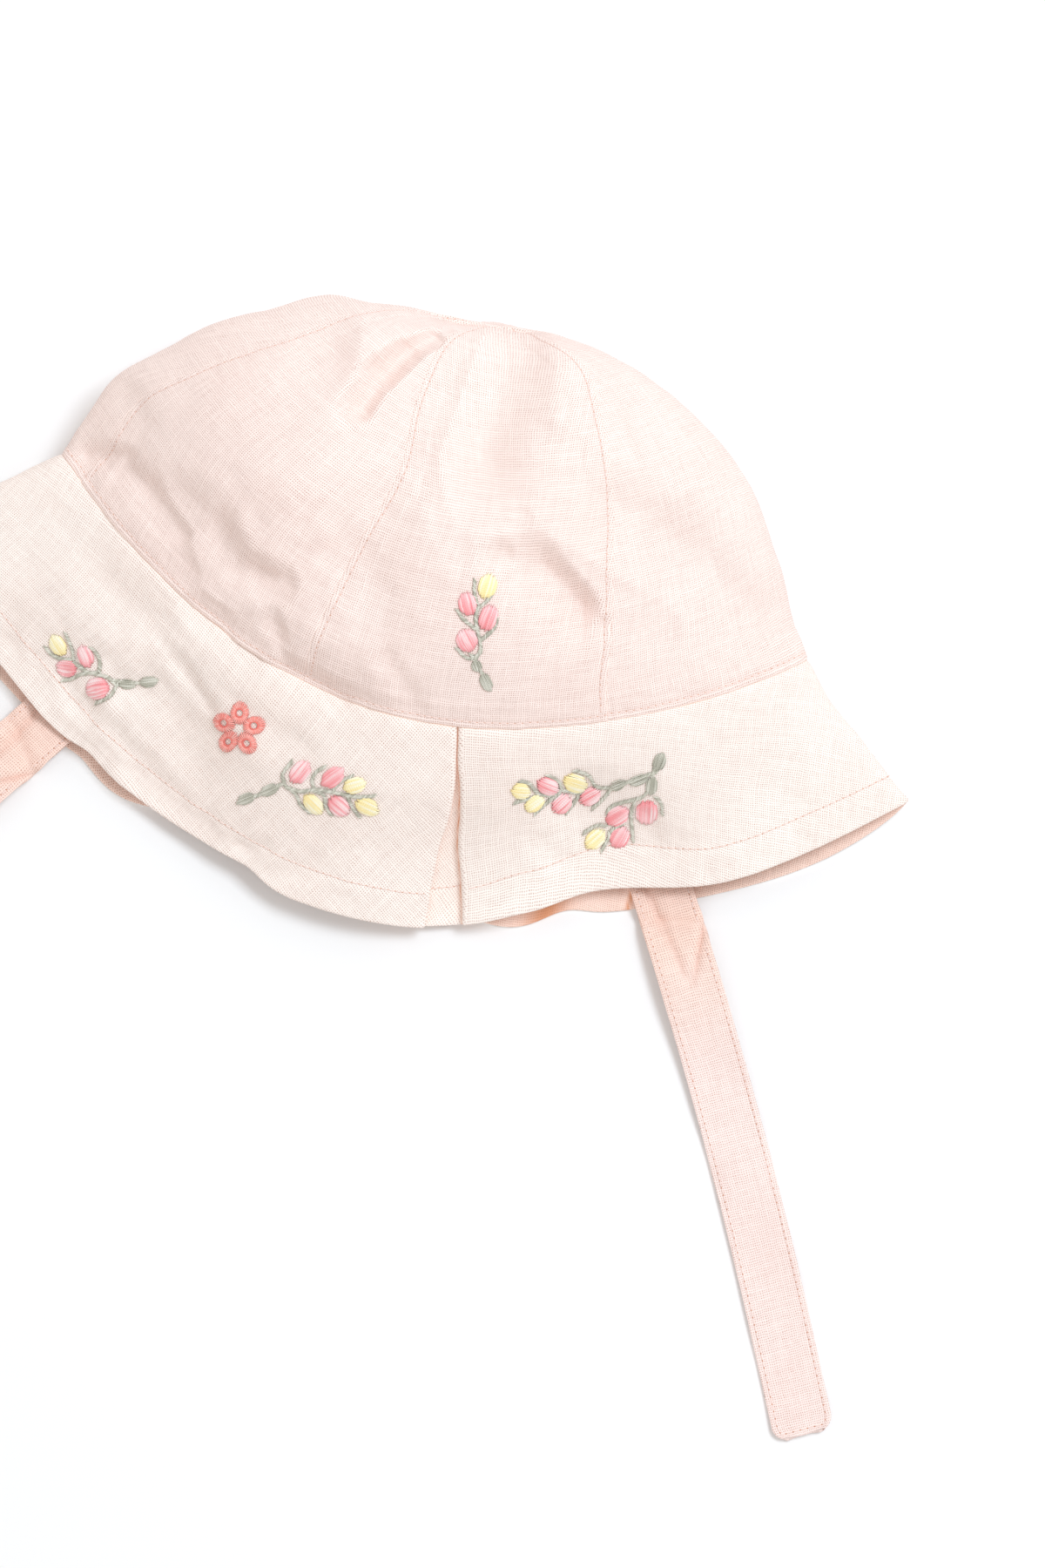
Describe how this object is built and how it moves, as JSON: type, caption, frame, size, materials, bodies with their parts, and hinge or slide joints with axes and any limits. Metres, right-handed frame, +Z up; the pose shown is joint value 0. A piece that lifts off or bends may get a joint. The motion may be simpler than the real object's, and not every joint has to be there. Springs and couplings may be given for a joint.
{
  "type": "baby sun hat",
  "caption": "Soft linen bucket sun hat for a baby, panelled crown and flared brim with a front pleat and two flat ties, embroidered with small buds, lying on its back.",
  "frame": {"origin": "middle of the whole object's footprint, on the surface that it lies on", "axes": "+Z up from that surface through the front of the hat, +Y from the brim towards the top of the crown, +X to the right seen from above"},
  "size_m": [0.3378, 0.2692, 0.0591],
  "materials": {
    "linen": "matt plain-weave linen, pale blush",
    "tie_linen": "matt plain-weave linen, pale peach"
  },
  "bodies": {
    "root": {"crown_panel_front": "linen", "crown_panel_front_right": "linen", "crown_panel_back_right": "linen", "crown_panel_back": "linen", "crown_panel_back_left": "linen", "crown_panel_front_left": "linen", "brim": "linen", "tie_right": "tie_linen", "tie_left": "tie_linen"}
  },
  "joints": []
}
